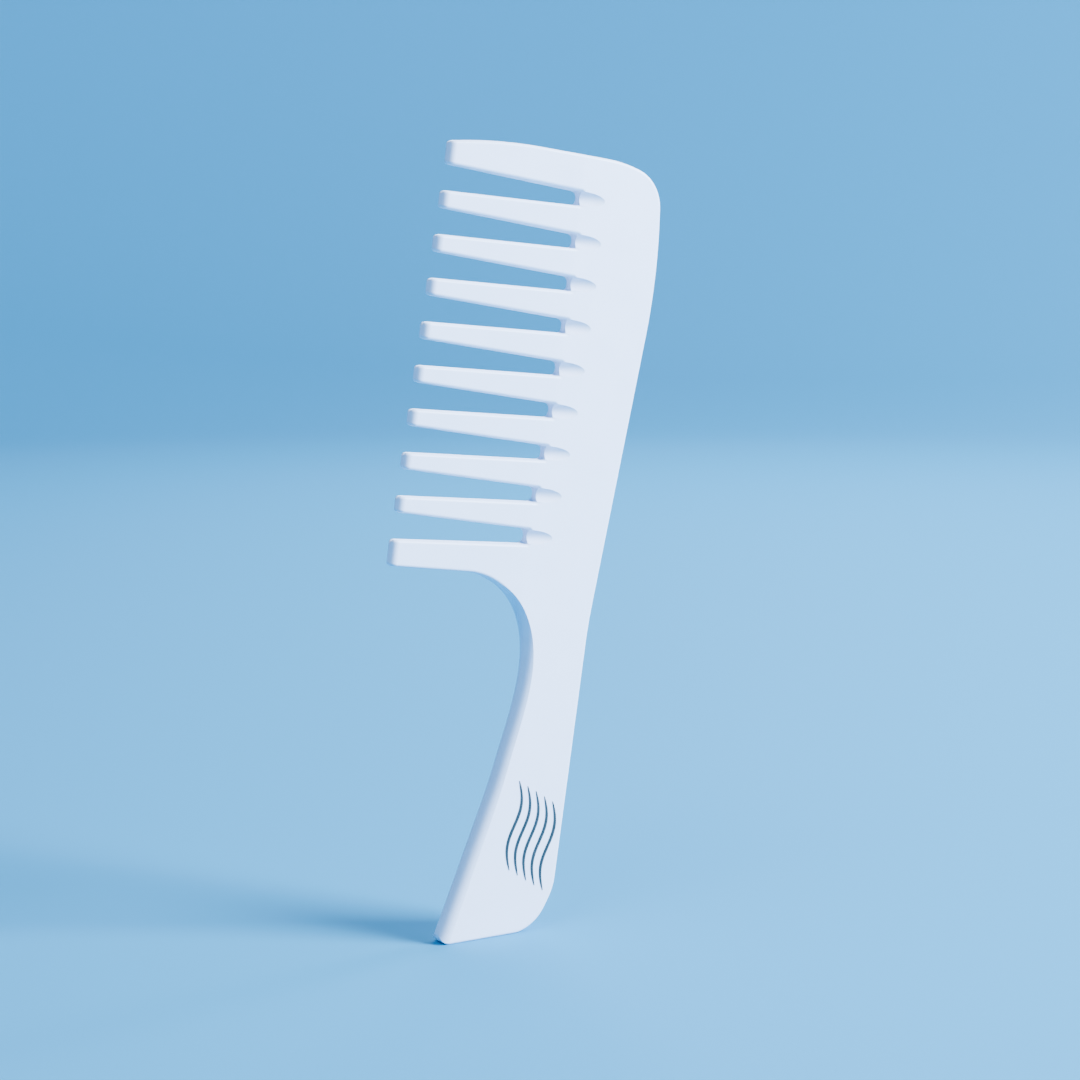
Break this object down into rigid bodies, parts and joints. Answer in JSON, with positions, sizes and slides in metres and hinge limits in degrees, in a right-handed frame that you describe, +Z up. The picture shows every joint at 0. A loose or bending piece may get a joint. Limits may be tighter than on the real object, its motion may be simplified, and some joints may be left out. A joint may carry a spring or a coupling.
{
  "type": "wide tooth comb",
  "caption": "Moulded wide tooth comb with a curved handle, tapered round-nosed teeth and a heavier guard tooth at each end, standing upright on the flat end of its handle.",
  "frame": {"origin": "middle of the flat end of the handle, which it stands on", "axes": "+Z up the comb, the teeth point to -X and slope 8 degrees, +Y through the thickness with the printed face towards -Y"},
  "size_m": [0.0851, 0.0066, 0.2171],
  "materials": {
    "white_plastic": "satin to gloss injection moulded polypropylene, white",
    "print_ink": "pad-printed ink, very dark blue-green"
  },
  "bodies": {
    "root": {"spine": "white_plastic", "handle": "white_plastic", "tooth_01": "white_plastic", "tooth_02": "white_plastic", "tooth_03": "white_plastic", "tooth_04": "white_plastic", "tooth_05": "white_plastic", "tooth_06": "white_plastic", "tooth_07": "white_plastic", "tooth_08": "white_plastic", "tooth_09": "white_plastic", "tooth_10": "white_plastic", "handle_print": "print_ink"}
  },
  "joints": []
}
